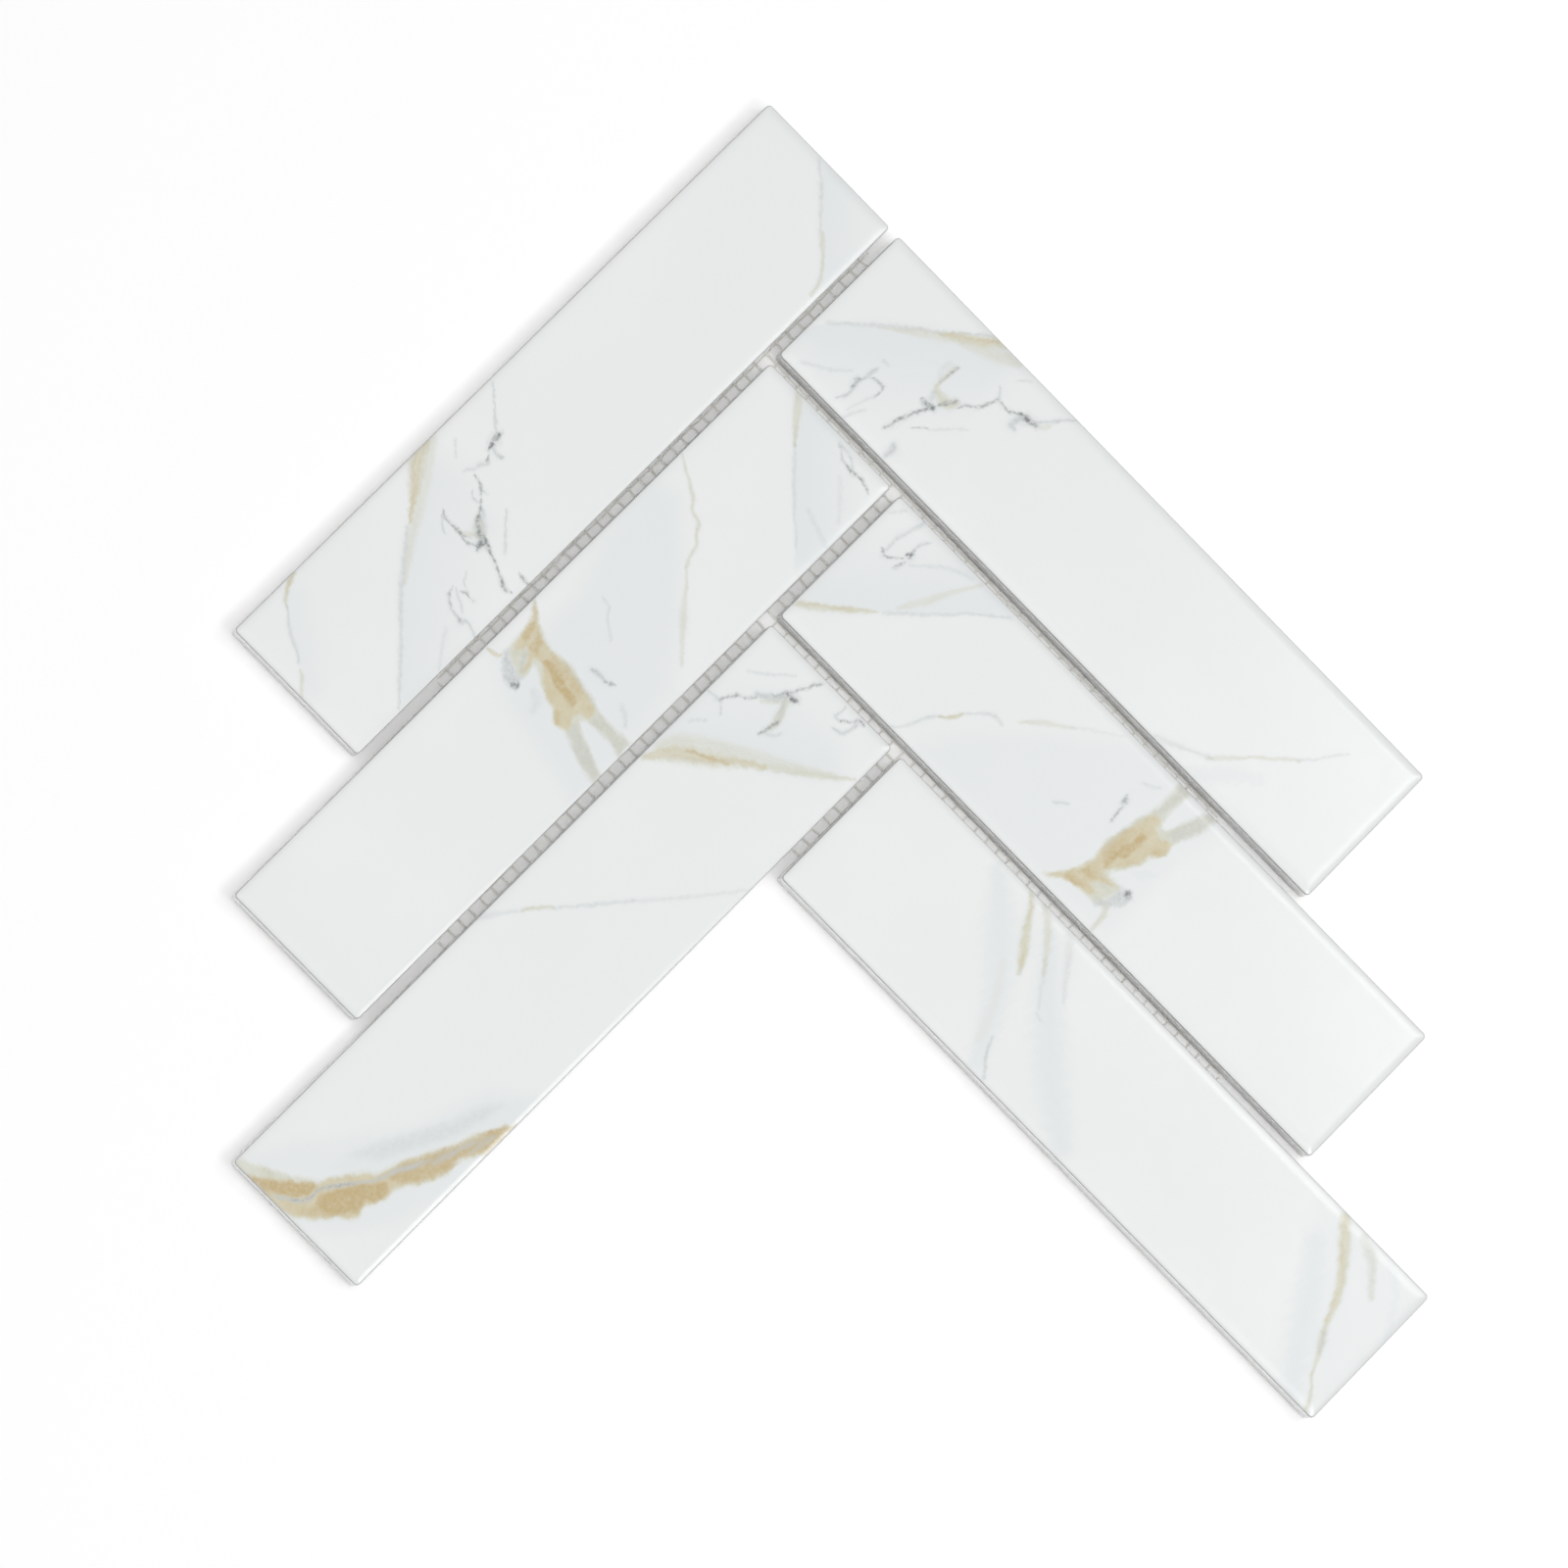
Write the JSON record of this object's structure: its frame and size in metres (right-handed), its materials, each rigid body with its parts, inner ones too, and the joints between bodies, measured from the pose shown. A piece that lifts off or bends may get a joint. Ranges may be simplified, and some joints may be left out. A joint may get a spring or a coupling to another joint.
{
  "type": "glass mosaic tile sheet",
  "caption": "Herringbone sheet of long glass mosaic tiles with a gold-veined white marble face, held at even grout joints by a backing mesh.",
  "frame": {"origin": "middle of the sheet's outline, on the floor side of the backing mesh", "axes": "+Z out of the printed faces, +Y up the sheet towards the point of the chevron, +X to the right seen from the printed side"},
  "size_m": [0.3162, 0.3448, 0.0086],
  "materials": {
    "tile_glass": "opaque white glass with a printed marble face, satin gloss",
    "mesh_thread": "resin-coated glass-fibre thread, matt"
  },
  "bodies": {
    "root": {"tile_left_top": "tile_glass", "tile_right_top": "tile_glass", "tile_left_middle": "tile_glass", "tile_right_middle": "tile_glass", "tile_left_bottom": "tile_glass", "tile_right_bottom": "tile_glass", "mesh_lower_threads": "mesh_thread", "mesh_upper_threads": "mesh_thread"}
  },
  "joints": []
}
